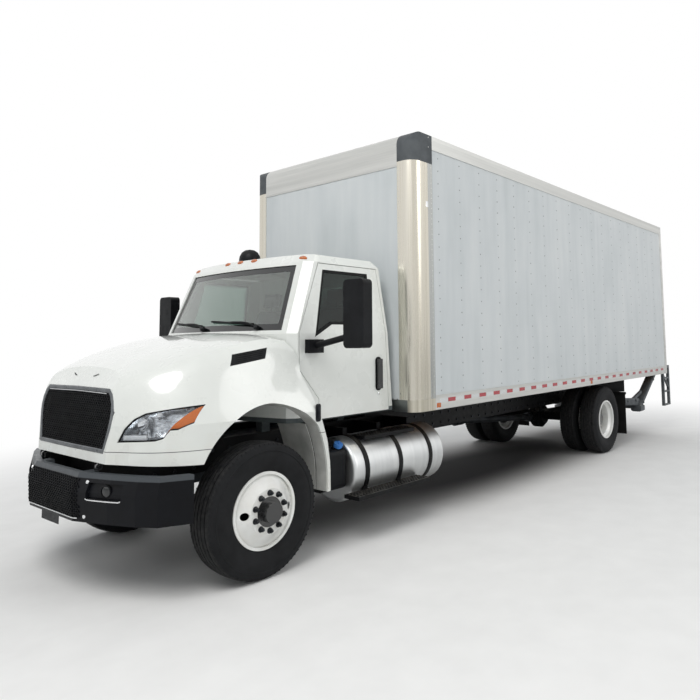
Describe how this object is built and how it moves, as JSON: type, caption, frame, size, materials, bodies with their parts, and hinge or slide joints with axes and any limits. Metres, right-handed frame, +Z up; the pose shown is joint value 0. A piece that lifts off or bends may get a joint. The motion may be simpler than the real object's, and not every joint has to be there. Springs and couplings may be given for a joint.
{
  "type": "box truck",
  "caption": "Medium-duty conventional box truck with a day cab, tilting hood, opening doors, a long dry-freight body with radiused front corners, twin rear wheels and a tuck-under liftgate.",
  "frame": {"origin": "on the ground, under the middle of the truck's length and width", "axes": "+X forward along the truck, +Y to its left, +Z up"},
  "size_m": [11.175, 3.24, 4.015],
  "materials": {
    "cab_paint": "gloss",
    "body_panel": "satin",
    "body_rail": "satin",
    "body_cap": "satin",
    "chassis_black": "satin",
    "cast_black": "matte",
    "spring_steel": "matte",
    "shaft_steel": "satin",
    "engine_grey": "matte",
    "radiator_grey": "matte",
    "bumper_black": "matte",
    "tank_metal": "brushed",
    "black_plastic": "matte",
    "exhaust_steel": "satin",
    "flap_rubber": "matte",
    "cab_trim": "matte",
    "glass": "gloss",
    "seat_fabric": "matte",
    "amber_lens": "gloss",
    "red_lens": "gloss",
    "clear_lens": "gloss",
    "floor_wood": "satin",
    "roof_skin": "satin",
    "door_panel": "satin",
    "tyre": "matte",
    "wheel_white": "gloss",
    "liner_grey": "matte",
    "bracket_grey": "satin",
    "gate_grey": "satin"
  },
  "bodies": {
    "chassis": {"frame": "chassis_black", "leaf_springs": "spring_steel", "front_axle": "cast_black", "rear_axle": "cast_black", "driveshaft": "shaft_steel", "engine": "engine_grey", "radiator": "radiator_grey", "front_bumper": "bumper_black", "fuel_tank": "tank_metal", "tank_steps": "black_plastic", "fluid_tank": "black_plastic", "exhaust": "exhaust_steel", "battery_box": "black_plastic", "mud_flaps": "flap_rubber", "cab_floor": "cab_trim", "cab_front": "cab_paint", "cab_sides": "cab_paint", "cab_back": "cab_paint", "cab_roof": "cab_paint", "cab_glass": "glass", "dashboard": "cab_trim", "splash_shields": "liner_grey", "seats": "seat_fabric", "marker_lamps": "amber_lens", "tail_lamps": "red_lens", "box_floor": "floor_wood", "box_subframe": "chassis_black", "box_sides": "body_panel", "box_front": "body_panel", "box_roof": "roof_skin", "box_corner_posts": "body_rail", "box_rails": "body_rail", "box_corner_caps": "body_cap", "box_rear_frame": "bracket_grey", "rollup_door": "door_panel", "liftgate_frame": "gate_grey", "rear_step_brackets": "bracket_grey"},
    "hood": {"hood": "cab_paint", "wheel_liners": "liner_grey", "grilles": "black_plastic", "headlamps": "clear_lens"},
    "door_left": {"door_left": "cab_paint", "door_left_glass": "glass", "mirror_left": "black_plastic"},
    "door_right": {"door_right": "cab_paint", "door_right_glass": "glass", "mirror_right": "black_plastic"},
    "knuckle_left": {"knuckle_left": "cast_black"},
    "knuckle_right": {"knuckle_right": "cast_black"},
    "tie_rod": {"tie_rod": "cast_black"},
    "wheel_front_left": {"tyre_front_left": "tyre", "wheel_front_left": "wheel_white"},
    "wheel_front_right": {"tyre_front_right": "tyre", "wheel_front_right": "wheel_white"},
    "wheels_rear_left": {"tyres_rear_left": "tyre", "wheels_rear_left": "wheel_white"},
    "wheels_rear_right": {"tyres_rear_right": "tyre", "wheels_rear_right": "wheel_white"},
    "liftgate_arms": {"liftgate_arms": "gate_grey"},
    "liftgate_platform": {"liftgate_platform": "gate_grey"}
  },
  "joints": [
    {"name": "hood_tilt", "type": "hinge", "parent": "chassis", "child": "hood", "pos_m": [5.4425, 0, 0.945], "axis": [0, 1, 0], "range_deg": [0, 60]},
    {"name": "door_left", "type": "hinge", "parent": "chassis", "child": "door_left", "pos_m": [3.9975, 1.03, 1.75], "axis": [0, 0, -1], "range_deg": [0, 68]},
    {"name": "door_right", "type": "hinge", "parent": "chassis", "child": "door_right", "pos_m": [3.9975, -1.03, 1.75], "axis": [0, 0, 1], "range_deg": [0, 68]},
    {"name": "steer_left", "type": "hinge", "parent": "chassis", "child": "knuckle_left", "pos_m": [4.4575, 0.85, 0.527], "axis": [0, 0, 1], "range_deg": [-35, 35]},
    {"name": "steer_right", "type": "hinge", "parent": "chassis", "child": "knuckle_right", "pos_m": [4.4575, -0.85, 0.527], "axis": [0, 0, 1], "range_deg": [-35, 35]},
    {"name": "tie_rod_turn", "type": "hinge", "parent": "knuckle_left", "child": "tie_rod", "pos_m": [4.2675, 0.85, 0.41], "axis": [0, 0, 1], "range_deg": [-35, 35]},
    {"name": "spin_front_left", "type": "hinge", "parent": "knuckle_left", "child": "wheel_front_left", "pos_m": [4.4575, 1.045, 0.527], "axis": [0, 1, 0], "continuous": true},
    {"name": "spin_front_right", "type": "hinge", "parent": "knuckle_right", "child": "wheel_front_right", "pos_m": [4.4575, -1.045, 0.527], "axis": [0, 1, 0], "continuous": true},
    {"name": "spin_rear_left", "type": "hinge", "parent": "chassis", "child": "wheels_rear_left", "pos_m": [-2.2925, 0.926, 0.527], "axis": [0, 1, 0], "continuous": true},
    {"name": "spin_rear_right", "type": "hinge", "parent": "chassis", "child": "wheels_rear_right", "pos_m": [-2.2925, -0.926, 0.527], "axis": [0, 1, 0], "continuous": true},
    {"name": "liftgate_lower", "type": "hinge", "parent": "chassis", "child": "liftgate_arms", "pos_m": [-3.9725, 0, 0.693], "axis": [0, -1, 0], "range_deg": [0, 22]},
    {"name": "platform_level", "type": "hinge", "parent": "liftgate_arms", "child": "liftgate_platform", "pos_m": [-4.8725, 0, 0.5], "axis": [0, -1, 0], "range_deg": [-22, 0]}
  ],
  "couplings": [
    {"joint": "steer_right", "follows": "steer_left", "ratio": 1},
    {"joint": "tie_rod_turn", "follows": "steer_left", "ratio": -1},
    {"joint": "platform_level", "follows": "liftgate_lower", "ratio": -1}
  ]
}
